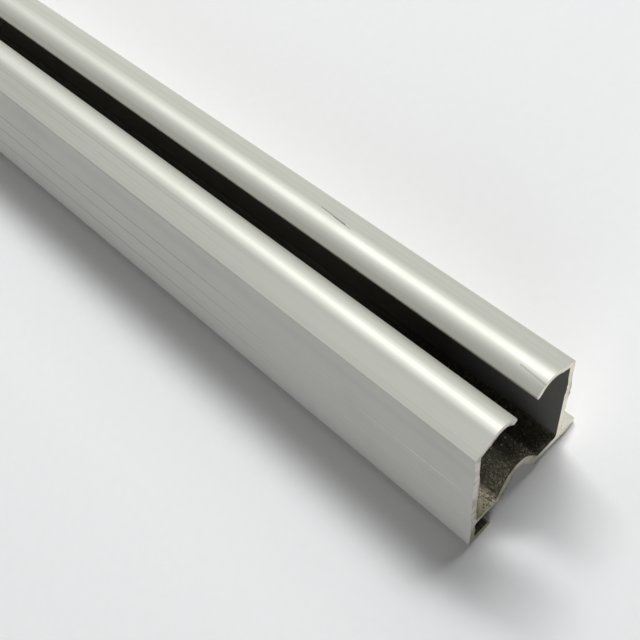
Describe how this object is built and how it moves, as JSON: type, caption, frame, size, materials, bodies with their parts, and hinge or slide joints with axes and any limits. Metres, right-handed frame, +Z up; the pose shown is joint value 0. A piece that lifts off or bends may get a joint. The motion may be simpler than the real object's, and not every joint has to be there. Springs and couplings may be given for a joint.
{
  "type": "aluminium extrusion profile",
  "caption": "Extruded aluminium channel stock with arched lips around a narrow slot, a hollow hump along the web, an outward flange at the web and a hooked foot below it.",
  "frame": {"origin": "middle of the bar's length and width, on the floor that it rests on", "axes": "+X along the bar, +Z up; the bar leans about 16 degrees towards +Y, where its flange meets the floor, and its slot faces up"},
  "size_m": [1, 0.0326, 0.0328],
  "materials": {
    "mill_aluminium": "mill finish, satin, with faint lines along the extrusion and sawn ends"
  },
  "bodies": {
    "root": {"profile": "mill_aluminium"}
  },
  "joints": []
}
